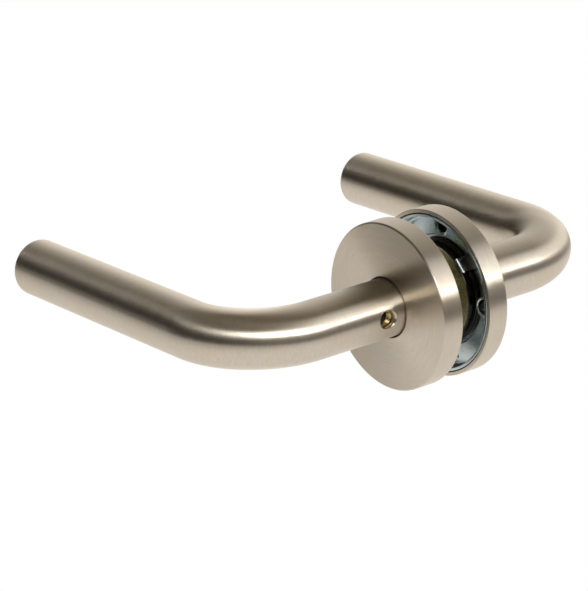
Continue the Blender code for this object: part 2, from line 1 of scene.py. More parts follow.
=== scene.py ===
"""Looks of the lever handle pair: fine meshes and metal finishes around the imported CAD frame.

Every piece is built in its set's own frame, as the CAD is: local Z is the depth from the door
plane towards the grip, and local X is the object's X. Sizes are read from the CAD nodes' boxes.
"""
import math

import bmesh
import bpy
from mathutils import Matrix, Vector


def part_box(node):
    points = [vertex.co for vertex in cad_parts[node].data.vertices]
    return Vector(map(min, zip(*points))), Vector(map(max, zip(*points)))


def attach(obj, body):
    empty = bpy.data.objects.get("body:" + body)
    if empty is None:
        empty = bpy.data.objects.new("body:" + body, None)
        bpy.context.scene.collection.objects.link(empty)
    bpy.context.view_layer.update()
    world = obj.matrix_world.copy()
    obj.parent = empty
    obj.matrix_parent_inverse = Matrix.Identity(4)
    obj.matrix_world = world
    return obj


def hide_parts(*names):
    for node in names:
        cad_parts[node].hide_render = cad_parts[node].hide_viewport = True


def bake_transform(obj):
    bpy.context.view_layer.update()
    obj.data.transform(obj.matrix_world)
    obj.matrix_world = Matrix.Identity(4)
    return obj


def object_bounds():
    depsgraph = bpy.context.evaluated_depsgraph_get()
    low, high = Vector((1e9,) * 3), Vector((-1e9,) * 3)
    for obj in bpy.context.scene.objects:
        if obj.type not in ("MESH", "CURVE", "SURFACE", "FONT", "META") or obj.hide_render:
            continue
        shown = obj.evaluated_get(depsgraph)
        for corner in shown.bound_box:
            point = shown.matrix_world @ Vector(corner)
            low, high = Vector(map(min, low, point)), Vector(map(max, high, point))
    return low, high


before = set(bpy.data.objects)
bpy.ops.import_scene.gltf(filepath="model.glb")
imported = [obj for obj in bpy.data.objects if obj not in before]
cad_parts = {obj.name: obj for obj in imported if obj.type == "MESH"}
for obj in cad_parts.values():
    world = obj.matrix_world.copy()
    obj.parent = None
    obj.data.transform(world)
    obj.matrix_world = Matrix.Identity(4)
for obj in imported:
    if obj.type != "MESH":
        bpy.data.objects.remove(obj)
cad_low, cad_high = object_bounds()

MM = 0.001

# Camera, from its direction, its distance and where it looks.
CAMERA_AZIMUTH = 51.52
CAMERA_ELEVATION = 19.59
CAMERA_ROLL = -2.0
CAMERA_DISTANCE = 0.849
CAMERA_RIGHT = -0.03954
CAMERA_UP = 0.0005
CAMERA_LENS = 162.1

# Sizes that the boxes don't give. TOUCH is the CAD's gap between pieces that nearly touch.
TOUCH = 0.3 * MM
SEAM = 0.02 * MM

# Lever tube and grip cap.
TUBE_WALL = 1.5 * MM
NECK_LENGTH = 30.0 * MM
ACCESS_RADIUS = 3.0 * MM
ACCESS_CHAMFER = 0.3 * MM
ACCESS_LIP = 0.25 * MM
ACCESS_FLARE = 2.0 * MM
CAP_THICKNESS = 3.0 * MM
CAP_EDGE = 2.2 * MM
SPIGOT_EDGE = 0.5 * MM

# Neck core and grub screw.
CORE_NOSE = 0.6 * MM
SOCKET_PLAY = 0.12 * MM
FLAT_DEPTH = 0.9 * MM
GROOVE_DEPTH = 1.0 * MM
THREAD_PITCH = 0.8 * MM
THREAD_DEPTH = 0.35 * MM
THREAD_PLAY = 0.24 * MM
GRUB_SUNK = 1.7 * MM
GRUB_POINT = 0.5 * MM
GRUB_KEY = 2.5 * MM
GRUB_KEY_DEPTH = 1.6 * MM

# Rose cover. COVER_CROWN_MIDDLE is the share of the crown that the face drops by halfway out.
COVER_WALL = 1.2 * MM
COVER_PLAY = 0.55 * MM
COVER_CROWN = 0.35 * MM
COVER_CROWN_MIDDLE = 0.3
COVER_CROWN_RADIUS = 9.0 * MM
COVER_FACE_EDGE = 0.6 * MM
COVER_INNER_BEND = 0.5 * MM

# Mounting plate, its screw holes and its lugs. Angles are about the spindle, from +X to +Z.
PLATE_WALL = 1.0 * MM
PLATE_BUSH_LAP = 0.7 * MM
PLATE_CORNER = 1.2 * MM
PLATE_INNER_CORNER = 0.9 * MM
PLATE_FRONT_BEND = 0.35 * MM
PLATE_OPEN_EDGE = 0.25 * MM
WELL_STEP = 0.9 * MM
SCREW_HOLE = 2.5 * MM
SCREW_FLARE = 0.6 * MM
SCREW_FLARE_SLOPE = 0.7
COLLAR_RADIUS = 3.4 * MM
COLLAR_HEIGHT = 2.2 * MM
COLLAR_FLARE = 0.25 * MM
HOLE_ANGLES = (90.0, 270.0)
COLLAR_ANGLES = (0.0, 180.0)
LUG_ANGLES = (43.0, 163.0, 283.0)
LUG_WIDTH = 5.0 * MM
LUG_THICKNESS = 0.7 * MM
LUG_HOOK = 2.1 * MM
LUG_BEND = 1.5 * MM
LUG_INNER_BEND = LUG_BEND - 0.8 * LUG_THICKNESS
WINDOW_LENGTH = 4.2 * MM
WINDOW_MARGIN = 0.3 * MM

# Bearing bush and spring housing. The last size is how far from the spindle the painted shade on
# the housing's flange begins.
BUSH_PLAY = 0.12 * MM
BUSH_LAP = 1.0 * MM
BUSH_FLANGE = 0.7 * MM
HOUSING_WALL = 0.7 * MM
HOUSING_FLANGE = 1.0 * MM
HOUSING_SHOULDER = 0.4 * MM
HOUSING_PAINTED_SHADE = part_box("outside_spring_housing")[1].z - HOUSING_FLANGE - 0.15 * MM

# Torsion spring, drive ring and its stop.
SPRING_WIRE = 1.2 * MM
SPRING_TURNS = 1.25
SPRING_START = 230.0
SPRING_MARGIN = 1.1 * MM
SPRING_COIL_GAP = 0.32 * MM
LEG_BEND = 1.2 * MM
LEG_SLOT = 1.8 * MM
DRIVE_RECESS = 2.6 * MM
DRIVE_PLAY = 0.1 * MM
STOP_ANGLE = 250.0
STOP_WIDTH = 3.0 * MM
STOP_CLEARANCE = 2.0
LEVER_TRAVEL = 45.0

# Thrust washer, retaining ring and spindle.
WASHER_PLAY = 0.2 * MM
RING_PLAY = 0.1 * MM
RING_WIDTH = 2.7 * MM
RING_EAR = 1.4 * MM
RING_EAR_ANGLE = 13.0
RING_EAR_EASE = 1.5
RING_OPENING = 12.0
RING_EYE = 0.6 * MM
RING_EDGE = 0.08 * MM
SPINDLE_CHAMFER = 0.5 * MM
SPINDLE_END = 0.3 * MM

# Radii of the rounded edges that several pieces share.
FINE_EDGE = 0.1 * MM
CUT_EDGE = 0.12 * MM
SHEET_EDGE = 0.15 * MM
RIM_EDGE = 0.2 * MM
PRESSED_BEND = 0.3 * MM

# How far a cutter stands out of what it cuts.
BEYOND = 1.0 * MM
SKIM = 0.5 * MM

# Fineness of the meshes.
ROUND_STEPS = 160
TUBE_SIDES = 96
NECK_ROWS = 8
BEND_STEPS = 64
GRIP_ROWS = 12
FILLET_STEPS = 5
LEG_STEPS = 8
COIL_STEPS = 96
WIRE_SIDES = 16
THREAD_SIDES = 48
THREAD_ROWS = 8
CUTTER_STEPS = 48
HOLE_STEPS = 52
ACCESS_STEPS = 64
RIM_STEPS = 24
RING_STEPS = 120
EAR_STEPS = 6
CREASE = 38.0
WIRE_CREASE = 50.0
SAME_POINT = 1e-7


# --- Mesh helpers -------------------------------------------------------------------------------

def polar(radius, degrees):
    """Return the x and y of a point at this radius and angle."""
    angle = math.radians(degrees)
    return radius * math.cos(angle), radius * math.sin(angle)


def arc(radius, start, end, steps):
    """Return points on an arc, both ends included."""
    return [polar(radius, start + (end - start) * i / steps) for i in range(steps + 1)]


def fillet(corner, before, after, radius, steps=FILLET_STEPS):
    """Return the points that round one corner of an outline."""
    corner, before, after = Vector(corner), Vector(before), Vector(after)
    back, ahead = (before - corner), (after - corner)
    half = back.angle(ahead) / 2
    reach = min(radius / math.tan(half), 0.45 * back.length, 0.45 * ahead.length)
    radius = reach * math.tan(half)
    inward = (back.normalized() + ahead.normalized()).normalized()
    centre = corner + inward * radius / math.sin(half)
    first = corner + back.normalized() * reach - centre
    last = corner + ahead.normalized() * reach - centre
    turn = first.angle_signed(last)
    return [centre + Matrix.Rotation(-turn * i / steps, 2) @ first for i in range(steps + 1)]


def rounded(points, closed=True):
    """Return an outline whose (x, y, radius) corners are rounded by their radii."""
    out = []
    count = len(points)
    for i, (x, y, radius) in enumerate(points):
        end = not closed and i in (0, count - 1)
        if end or radius <= 0:
            out.append(Vector((x, y)))
            continue
        before, after = points[i - 1][:2], points[(i + 1) % count][:2]
        out += fillet((x, y), before, after, radius)
    return out


def mesh_from(name, verts, faces, uvs):
    """Return a mesh, with one UV pair for each corner of each face."""
    mesh = bpy.data.meshes.new(name)
    mesh.from_pydata([tuple(v) for v in verts], [], faces)
    layer = mesh.uv_layers.new(name="lay")
    flat = [value for face in uvs for pair in face for value in pair]
    layer.data.foreach_set("uv", flat)
    return mesh


def distinct(corners):
    """Return a face's corners of (point, ...) without those that fall on the same point."""
    kept = []
    for corner in corners:
        if all(corner[0] != other[0] for other in kept):
            kept.append(corner)
    return kept


def lathe(name, outline, closed=True, steps=ROUND_STEPS):
    """Return a turned mesh of an outline of (radius, depth), which goes down its outer side.

    U is the share of a turn and V is the length along the outline, in metres.
    """
    count = len(outline)
    verts, rows = [], []
    for radius, depth in outline:
        if radius < SAME_POINT:
            rows.append([len(verts)] * steps)
            verts.append((0.0, 0.0, depth))
            continue
        rows.append(list(range(len(verts), len(verts) + steps)))
        verts += [(*polar(radius, 360.0 * i / steps), depth) for i in range(steps)]
    lengths = [0.0]
    for i in range(count if closed else count - 1):
        a, b = Vector(outline[i]), Vector(outline[(i + 1) % count])
        lengths.append(lengths[-1] + (b - a).length)
    faces, uvs = [], []
    for row in range(count if closed else count - 1):
        top, bottom = rows[row], rows[(row + 1) % count]
        for i in range(steps):
            j = (i + 1) % steps
            kept = distinct([(top[i], i, row), (bottom[i], i, row + 1),
                             (bottom[j], i + 1, row + 1), (top[j], i + 1, row)])
            faces.append([corner[0] for corner in kept])
            uvs.append([(corner[1] / steps, lengths[corner[2]]) for corner in kept])
    return mesh_from(name, verts, faces, uvs)


def path_frames(path):
    """Return (point, normal, binormal) along a path, turned as little as possible."""
    tangents = []
    for i in range(len(path)):
        before, after = path[max(i - 1, 0)], path[min(i + 1, len(path) - 1)]
        tangents.append((after - before).normalized())
    normal = tangents[0].orthogonal().normalized()
    frames = []
    for i, tangent in enumerate(tangents):
        normal = (normal - tangent * normal.dot(tangent)).normalized()
        frames.append((path[i], normal.copy(), tangent.cross(normal)))
    return frames


def sweep(name, path, sections, sides):
    """Return a mesh that sweeps rings along a path.

    sections is a list of (path index, radius), and a radius of 0 closes the end.
    """
    frames = path_frames(path)
    lengths = [0.0]
    for a, b in zip(path, path[1:]):
        lengths.append(lengths[-1] + (b - a).length)
    verts, rows, along = [], [], []
    for index, radius in sections:
        point, normal, binormal = frames[index]
        if along and index == sections[len(along) - 1][0]:
            along.append(along[-1] + abs(radius - sections[len(along) - 1][1]))
        else:
            along.append(lengths[index])
        if radius < SAME_POINT:
            rows.append([len(verts)] * sides)
            verts.append(point)
            continue
        rows.append(list(range(len(verts), len(verts) + sides)))
        for i in range(sides):
            x, y = polar(radius, 360.0 * i / sides)
            verts.append(point + normal * x + binormal * y)
    faces, uvs = [], []
    for row in range(len(sections) - 1):
        for i in range(sides):
            j = (i + 1) % sides
            kept = distinct([(rows[row][i], i, row), (rows[row][j], i + 1, row),
                             (rows[row + 1][j], i + 1, row + 1), (rows[row + 1][i], i, row + 1)])
            faces.append([corner[0] for corner in kept])
            uvs.append([(corner[1] / sides, along[corner[2]]) for corner in kept])
    return mesh_from(name, verts, faces, uvs)


def cylinder(radius, low, high, steps):
    """Return a plain cylinder for cutting."""
    return lathe("cutter", [(0.0, high), (radius, high), (radius, low), (0.0, low)], False, steps)


def box(low, high):
    """Return a plain box for cutting."""
    shape = bmesh.new()
    size = [b - a for a, b in zip(low, high)]
    middle = [(a + b) / 2 for a, b in zip(low, high)]
    bmesh.ops.create_cube(shape, size=1.0,
                          matrix=Matrix.Translation(middle) @ Matrix.Diagonal((*size, 1.0)))
    mesh = bpy.data.meshes.new("cutter")
    shape.to_mesh(mesh)
    shape.free()
    return mesh


def prism(outline, low, high, edge=0.0, segments=2):
    """Return an outline of (x, y) raised from low to high, with its rims rounded."""
    shape = bmesh.new()
    corners = [shape.verts.new((x, y, low)) for x, y in outline]
    face = shape.faces.new(corners)
    face.normal_update()
    if face.normal.z > 0:
        face.normal_flip()
    grown = bmesh.ops.extrude_face_region(shape, geom=[face])["geom"]
    tops = [item for item in grown if isinstance(item, bmesh.types.BMVert)]
    bmesh.ops.translate(shape, verts=tops, vec=(0.0, 0.0, high - low))
    bmesh.ops.recalc_face_normals(shape, faces=shape.faces)
    if edge:
        rims = [e for e in shape.edges if abs(e.verts[0].co.z - e.verts[1].co.z) < SAME_POINT]
        bmesh.ops.bevel(shape, geom=rims, offset=edge, segments=segments, affect="EDGES",
                        clamp_overlap=True)
    mesh = bpy.data.meshes.new("prism")
    shape.to_mesh(mesh)
    shape.free()
    return mesh


def show(name, mesh):
    """Return a new object of a mesh."""
    obj = bpy.data.objects.new(name, mesh)
    bpy.context.scene.collection.objects.link(obj)
    return obj


def combine(mesh, other, matrix=Matrix(), operation="DIFFERENCE"):
    """Return a mesh that is cut by another, or joined to it."""
    body, tool = show("body", mesh), show("tool", other)
    tool.matrix_world = matrix
    modifier = body.modifiers.new("combine", "BOOLEAN")
    modifier.operation = operation
    modifier.solver = "MANIFOLD"
    modifier.object = tool
    bpy.context.view_layer.update()
    evaluated = body.evaluated_get(bpy.context.evaluated_depsgraph_get())
    result = bpy.data.meshes.new_from_object(evaluated)
    for obj in (body, tool):
        bpy.data.objects.remove(obj, do_unlink=True)
    return result


def turn(degrees):
    """Return a rotation about local Z."""
    return Matrix.Rotation(math.radians(degrees), 4, "Z")


# --- Materials ----------------------------------------------------------------------------------

# Patterns that run round a piece: how fast they change along it, per metre, and round it.
FINE_GRAIN = (3300.0, 4.5)
BROAD_GRAIN = (800.0, 3.0)
TOOL_LINES = (5200.0, 1.2)

# Patterns in a piece's own space: how fast they change, per metre.
STAIN_SCALE = 55.0
CLOUD_SCALE = 90.0
FINE_CLOUD_SCALE = 160.0
TINT_RATIO = 2.7
PATCH_SCALE = 400.0
MOULD_SCALE = 1800.0
GRIT_SCALE = 2600.0

# The middle part of a noise texture's values, where nearly all of them lie.
NOISE_LOW = 0.3
NOISE_HIGH = 0.7

# Colours. Plated pieces have two cloud tones, a tint and a tone for worn edges, which on the
# housing also paints a highlight ring.
STEEL_DARK = (0.54, 0.478, 0.394)
STEEL_LIGHT = (0.65, 0.586, 0.497)
STEEL_STAIN = (0.59, 0.50, 0.365)
ZINC_TONES = ((0.54, 0.61, 0.62), (0.44, 0.52, 0.54), (0.55, 0.57, 0.51))
ZINC_RUBBED = (0.78, 0.80, 0.80)
YELLOW_TONES = ((0.56, 0.52, 0.30), (0.45, 0.45, 0.27), (0.60, 0.50, 0.34))
# Worn edges of the yellow pieces, and the painted highlight ring on the housing.
YELLOW_WEAR_AND_HIGHLIGHT = (0.72, 0.70, 0.58)
# Near-black painted shade on the outer rim of the housing's flange.
PAINTED_SHADE_TONE = (0.012, 0.011, 0.009)
BRASS_TONES = ((0.50, 0.37, 0.16), (0.78, 0.60, 0.30))
SPRING_TONES = ((0.20, 0.20, 0.21), (0.40, 0.40, 0.40))
OXIDE_TONES = ((0.05, 0.05, 0.055), (0.13, 0.13, 0.13))
NYLON_TONES = ((0.02, 0.02, 0.021), (0.045, 0.045, 0.047))


def add_node(tree, kind, inputs=None, **settings):
    """Add a shader node, set its properties, and link or set its inputs."""
    node = tree.nodes.new(kind)
    for key, value in settings.items():
        setattr(node, key, value)
    for key, value in (inputs or {}).items():
        if isinstance(value, bpy.types.NodeSocket):
            tree.links.new(value, node.inputs[key])
        else:
            node.inputs[key].default_value = value
    return node


def math_node(tree, operation, first, second=0.0):
    """Return the result of a Math node."""
    return add_node(tree, "ShaderNodeMath", {0: first, 1: second}, operation=operation).outputs[0]


def new_material(name, roughness, anisotropy=0.0):
    """Return a metal material, its tree and its shader."""
    material = bpy.data.materials.new(name)
    material.use_nodes = True
    tree = material.node_tree
    shader = tree.nodes["Principled BSDF"]
    shader.inputs["Metallic"].default_value = 1.0
    shader.inputs["Roughness"].default_value = roughness
    shader.inputs["Anisotropic"].default_value = anisotropy
    return material, tree, shader


def lay_vector(tree, across, around):
    """Return texture coordinates that run round a piece without a seam.

    across is how fast the pattern changes along the piece, per metre, and around is how fast it
    changes round it.
    """
    place = add_node(tree, "ShaderNodeUVMap", uv_map="lay").outputs[0]
    split = add_node(tree, "ShaderNodeSeparateXYZ", {0: place})
    angle = math_node(tree, "MULTIPLY", split.outputs[0], 2 * math.pi)
    along = math_node(tree, "MULTIPLY", split.outputs[1], across)
    cosine = math_node(tree, "MULTIPLY", math_node(tree, "COSINE", angle), around)
    sine = math_node(tree, "MULTIPLY", math_node(tree, "SINE", angle), around)
    return add_node(tree, "ShaderNodeCombineXYZ", {0: along, 1: cosine, 2: sine}).outputs[0]


def noise(tree, vector, scale, detail=2.0, rough=0.5):
    """Return the value of a noise texture."""
    texture = add_node(tree, "ShaderNodeTexNoise",
                       {"Vector": vector, "Scale": scale, "Detail": detail, "Roughness": rough})
    return texture.outputs[0]


def spread(tree, value, low, high, low_out, high_out, smooth=False):
    """Return a value mapped from one range to another."""
    kind = "SMOOTHSTEP" if smooth else "LINEAR"
    return add_node(tree, "ShaderNodeMapRange",
                    {0: value, 1: low, 2: high, 3: low_out, 4: high_out},
                    interpolation_type=kind).outputs[0]


def mix_colour(tree, factor, first, second):
    """Return a blend of two colours."""
    node = add_node(tree, "ShaderNodeMix", {0: factor}, data_type="RGBA")
    for socket, value in ((node.inputs[6], first), (node.inputs[7], second)):
        if isinstance(value, bpy.types.NodeSocket):
            tree.links.new(value, socket)
        else:
            socket.default_value = (*value, 1.0)
    return node.outputs[2]


def object_place(tree):
    """Return a point's place in its piece's own space."""
    return add_node(tree, "ShaderNodeTexCoord").outputs["Object"]


def distance_over(tree, place, plane):
    """Return how far a place is from the origin, along the axes that plane marks with a 1."""
    flat = add_node(tree, "ShaderNodeVectorMath", {0: place, 1: plane},
                    operation="MULTIPLY").outputs[0]
    return add_node(tree, "ShaderNodeVectorMath", {0: flat}, operation="LENGTH").outputs["Value"]


def add_bump(tree, shader, height, strength, depth):
    """Give a material the relief of a pattern, depth metres deep."""
    bump = add_node(tree, "ShaderNodeBump",
                    {"Strength": strength, "Distance": depth, "Height": height})
    tree.links.new(bump.outputs[0], shader.inputs["Normal"])


def satin_stainless():
    """Stainless steel with a fine grain that runs round the tube and round the rose."""
    material, tree, shader = new_material("satin_stainless", 0.36, 0.93)
    fine = noise(tree, lay_vector(tree, *FINE_GRAIN), 1.0, 3.0, 0.65)
    broad = noise(tree, lay_vector(tree, *BROAD_GRAIN), 1.0)
    stains = noise(tree, object_place(tree), STAIN_SCALE, 3.0, 0.6)
    grain = math_node(tree, "ADD", math_node(tree, "MULTIPLY", fine, 0.7),
                      math_node(tree, "MULTIPLY", broad, 0.3))
    tone = mix_colour(tree, spread(tree, grain, NOISE_LOW, NOISE_HIGH, 0.0, 1.0),
                      STEEL_DARK, STEEL_LIGHT)
    stained = mix_colour(tree, spread(tree, stains, 0.42, 0.72, 0.0, 0.45, True), tone,
                         STEEL_STAIN)
    tree.links.new(stained, shader.inputs["Base Color"])
    rough = spread(tree, grain, NOISE_LOW, NOISE_HIGH, 0.31, 0.39)
    tree.links.new(rough, shader.inputs["Roughness"])
    add_bump(tree, shader, grain, 0.35, 0.05 * MM)
    tangent = add_node(tree, "ShaderNodeTangent", direction_type="UV_MAP", uv_map="lay")
    tree.links.new(tangent.outputs[0], shader.inputs["Tangent"])
    shader.inputs["Anisotropic Rotation"].default_value = 0.25
    return material


def plated(name, tones, roughness, wear_and_highlight_tone, cloud_scale, shade_radius=None):
    """Electroplated steel: cloudy colour, a faint unevenness and brighter, worn edges.

    The last argument is the distance from the spindle beyond which shade is painted near-black,
    with a painted highlight ring just inside it.
    """
    material, tree, shader = new_material(name, roughness)
    place = object_place(tree)
    clouds = noise(tree, place, cloud_scale, 3.0, 0.55)
    tint = noise(tree, place, cloud_scale * TINT_RATIO)
    first = mix_colour(tree, spread(tree, clouds, 0.35, 0.65, 0.0, 1.0, True), tones[0], tones[1])
    second = mix_colour(tree, spread(tree, tint, 0.5, 0.75, 0.0, 0.6, True), first, tones[2])
    edge = add_node(tree, "ShaderNodeNewGeometry").outputs["Pointiness"]
    worn = spread(tree, edge, 0.53, 0.60, 0.0, 0.8, True)
    finish = mix_colour(tree, worn, second, wear_and_highlight_tone)
    if shade_radius:
        away = distance_over(tree, place, (1.0, 0.0, 1.0))
        # Painted highlight: a bright ring just inside the painted shade.
        highlight_ring = spread(tree, away, shade_radius - 0.8 * MM, shade_radius - 0.3 * MM, 0.0, 0.9, True)
        finish = mix_colour(tree, highlight_ring, finish, wear_and_highlight_tone)
        # Painted shade: the flange's outer rim turns near-black.
        painted_shade = spread(tree, away, shade_radius - 0.15 * MM, shade_radius, 0.0, 0.93, True)
        finish = mix_colour(tree, painted_shade, finish, PAINTED_SHADE_TONE)
    tree.links.new(finish, shader.inputs["Base Color"])
    grit = noise(tree, place, GRIT_SCALE)
    gritty = spread(tree, grit, NOISE_LOW, NOISE_HIGH, roughness - 0.04, roughness + 0.04)
    rough = math_node(tree, "ADD", spread(tree, clouds, NOISE_LOW, NOISE_HIGH, -0.05, 0.06), gritty)
    tree.links.new(rough, shader.inputs["Roughness"])
    relief = math_node(tree, "ADD", math_node(tree, "MULTIPLY", grit, 0.25), clouds)
    add_bump(tree, shader, relief, 0.2, 0.12 * MM)
    return material


def turned_metal(name, tones, roughness, anisotropy):
    """Turned or drawn metal with tool lines round it, in a dark and a light tone."""
    material, tree, shader = new_material(name, roughness, anisotropy)
    lines = noise(tree, lay_vector(tree, *TOOL_LINES), 1.0)
    patches = noise(tree, object_place(tree), PATCH_SCALE, 3.0, 0.6)
    blend = math_node(tree, "ADD", math_node(tree, "MULTIPLY", lines, 0.5),
                      math_node(tree, "MULTIPLY", patches, 0.5))
    tree.links.new(mix_colour(tree, spread(tree, blend, 0.35, 0.65, 0.0, 1.0), *tones),
                   shader.inputs["Base Color"])
    rough = spread(tree, blend, NOISE_LOW, NOISE_HIGH, roughness - 0.07, roughness + 0.08)
    tree.links.new(rough, shader.inputs["Roughness"])
    add_bump(tree, shader, blend, 0.3, 0.04 * MM)
    return material


def nylon():
    """Black moulded nylon with a faint mould grain."""
    material, tree, shader = new_material("black_nylon", 0.5)
    shader.inputs["Metallic"].default_value = 0.0
    grain = noise(tree, object_place(tree), MOULD_SCALE, 3.0, 0.6)
    tree.links.new(mix_colour(tree, grain, *NYLON_TONES), shader.inputs["Base Color"])
    rough = spread(tree, grain, NOISE_LOW, NOISE_HIGH, 0.42, 0.6)
    tree.links.new(rough, shader.inputs["Roughness"])
    add_bump(tree, shader, grain, 0.3, 0.05 * MM)
    return material


materials = {
    "satin_stainless": satin_stainless(),
    "zinc_plate": plated("zinc_plate", ZINC_TONES, 0.22, ZINC_RUBBED, CLOUD_SCALE),
    "yellow_passivated": plated("yellow_passivated", YELLOW_TONES, 0.24, YELLOW_WEAR_AND_HIGHLIGHT,
                                FINE_CLOUD_SCALE, HOUSING_PAINTED_SHADE),
    "turned_brass": turned_metal("turned_brass", BRASS_TONES, 0.3, 0.4),
    "spring_steel": turned_metal("spring_steel", SPRING_TONES, 0.32, 0.3),
    "blackened_steel": turned_metal("blackened_steel", OXIDE_TONES, 0.42, 0.0),
    "black_nylon": nylon(),
}


# --- The two sets -------------------------------------------------------------------------------

class Side:
    """One lever set: its frame and the sizes that its CAD nodes give."""

    def __init__(self, name, side):
        self.name = name
        self.side = side
        self.gap_half = self.node_range("rose_cover")[0]
        self.matrix = (Matrix.Translation((0.0, side * self.gap_half, 0.0))
                       @ Matrix.Rotation(-side * math.pi / 2, 4, "X"))
        self.rose_radius = self.node_radius("rose_cover")
        self.rose_depth = self.depths("rose_cover")[1]
        self.tube_radius = self.half_height("grip_cap")
        self.bore_radius = self.tube_radius - TUBE_WALL
        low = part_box(name + "_grip_cap")[0]
        self.grip_reach = -low.x
        near, far = self.depths("grip_cap")
        self.grip_depth = (near + far) / 2
        self.bend_depth = self.rose_depth + NECK_LENGTH
        self.bend_radius = self.grip_depth - self.bend_depth
        self.flange_radius = self.node_radius("spring_housing")
        self.housing_face, self.housing_rim = self.depths("spring_housing")
        self.lug_tip = self.housing_face - TOUCH - LUG_THICKNESS
        self.well_radius = self.flange_radius + TOUCH + LUG_THICKNESS
        self.cup_radius = self.node_radius("mounting_plate")
        self.plate_front = self.depths("mounting_plate")[1]
        self.well_floor = self.plate_front - PLATE_WALL
        self.rim_floor = self.well_floor - WELL_STEP
        self.bush_flange_radius = self.node_radius("bearing_bush")
        self.bush_back = self.depths("bearing_bush")[0]
        self.core_back, self.core_front = self.depths("neck_core")
        self.boss_radius = self.bore_radius - TOUCH
        self.drive_radius = self.bush_flange_radius - TOUCH
        self.drive_back, self.drive_front = self.depths("drive_ring")
        self.fixing_radius = (self.well_radius + self.cup_radius - PLATE_WALL) / 2
        self.grub_low, self.grub_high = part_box(name + "_grub_screw")
        self.grub_depth = sum(self.depths("grub_screw")) / 2

    def node_range(self, node):
        """Return the nearest and farthest distance of a node from the door's middle plane."""
        low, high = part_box(self.name + "_" + node)
        return sorted((self.side * low.y, self.side * high.y))

    def depths(self, node):
        """Return the depths between which a node lies."""
        near, far = self.node_range(node)
        return near - self.gap_half, far - self.gap_half

    def node_radius(self, node):
        """Return the outer radius of a node that is round about the spindle."""
        low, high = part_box(self.name + "_" + node)
        return max(high.x - low.x, high.z - low.z) / 2

    def half_height(self, node):
        """Return half the height of a node."""
        low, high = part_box(self.name + "_" + node)
        return (high.z - low.z) / 2

    def local(self, degrees):
        """Return an angle round the spindle as this frame measures it."""
        return -self.side * degrees

    def add(self, name, mesh, body, material, matrix=Matrix(), crease=CREASE):
        """Add a finished piece that stands for the CAD node of the same name."""
        mesh.transform(self.matrix @ matrix)
        return finish_piece(self.name + "_" + name, mesh, self.name + "_" + body, material, crease)


def finish_piece(node, mesh, body, material, crease=CREASE):
    """Shade a piece, give it its material and tie it to its body and its CAD node."""
    mesh.materials.clear()
    mesh.materials.append(materials[material])
    mesh.shade_smooth()
    mesh.set_sharp_from_angle(angle=math.radians(crease))
    obj = show(node + "_skin", mesh)
    weights = obj.modifiers.new("even_shading", "WEIGHTED_NORMAL")
    weights.keep_sharp = True
    weights.weight = 60
    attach(obj, body)
    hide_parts(node)
    return obj


def lever_tube(s):
    """Bent tube with the grub screw's access hole, chamfered at the surface."""
    start = s.depths("lever_tube")[0]
    centre = Vector((-s.bend_radius, 0.0, s.bend_depth))
    bend = [centre + Vector((s.bend_radius * math.cos(a), 0.0, s.bend_radius * math.sin(a)))
            for a in (math.pi / 2 * i / BEND_STEPS for i in range(BEND_STEPS + 1))]
    neck = [Vector((0.0, 0.0, start + (s.bend_depth - start) * i / NECK_ROWS))
            for i in range(NECK_ROWS)]
    end = -(s.grip_reach - CAP_THICKNESS - SEAM)
    grip = [Vector((bend[-1].x + (end - bend[-1].x) * i / GRIP_ROWS, 0.0, s.grip_depth))
            for i in range(1, GRIP_ROWS + 1)]
    path = neck + bend + grip
    last = len(path) - 1
    sections = ([(0, s.tube_radius)] + [(i, s.tube_radius) for i in range(1, last)]
                + [(last, s.tube_radius), (last, s.bore_radius)]
                + [(i, s.bore_radius) for i in range(last - 1, -1, -1)] + [(0, s.tube_radius)])
    mesh = sweep("lever_tube", path, sections, TUBE_SIDES)
    weld(mesh)
    clear = s.tube_radius + ACCESS_FLARE
    throat = s.tube_radius - ACCESS_CHAMFER - ACCESS_LIP
    hole = rounded([(0.0, clear, 0), (ACCESS_RADIUS + ACCESS_CHAMFER + ACCESS_FLARE, clear, 0),
                    (ACCESS_RADIUS, throat, SHEET_EDGE), (ACCESS_RADIUS, 0.0, 0),
                    (0.0, 0.0, 0)], False)
    mesh = combine(mesh, lathe("hole", hole, False, ACCESS_STEPS), grub_matrix(s))
    return s.add("lever_tube", mesh, "lever", "satin_stainless")


def weld(mesh):
    """Join the points that lie on one another."""
    shape = bmesh.new()
    shape.from_mesh(mesh)
    bmesh.ops.remove_doubles(shape, verts=shape.verts, dist=2 * SAME_POINT)
    shape.to_mesh(mesh)
    shape.free()


def grub_matrix(s):
    """Place of a piece whose local Z is the grub screw's axis, pointing out of the neck."""
    return Matrix.Translation((0.0, 0.0, s.grub_depth)) @ Matrix.Rotation(math.pi / 2, 4, "Y")


def grip_cap(s):
    """Closed end of the grip with a soft edge, and a chamfered spigot inside the tube."""
    spigot = s.grip_reach - CAP_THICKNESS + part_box(s.name + "_grip_cap")[1].x
    outline = rounded([(0.0, CAP_THICKNESS, 0), (s.tube_radius, CAP_THICKNESS, CAP_EDGE),
                       (s.tube_radius, 0.0, SEAM), (s.boss_radius, 0.0, FINE_EDGE),
                       (s.boss_radius, -spigot, SPIGOT_EDGE), (0.0, -spigot, 0)], False)
    place = (Matrix.Translation((-(s.grip_reach - CAP_THICKNESS), 0.0, s.grip_depth))
             @ Matrix.Rotation(-math.pi / 2, 4, "Y"))
    return s.add("grip_cap", lathe("grip_cap", outline, False, TUBE_SIDES), "lever",
                 "satin_stainless", place)


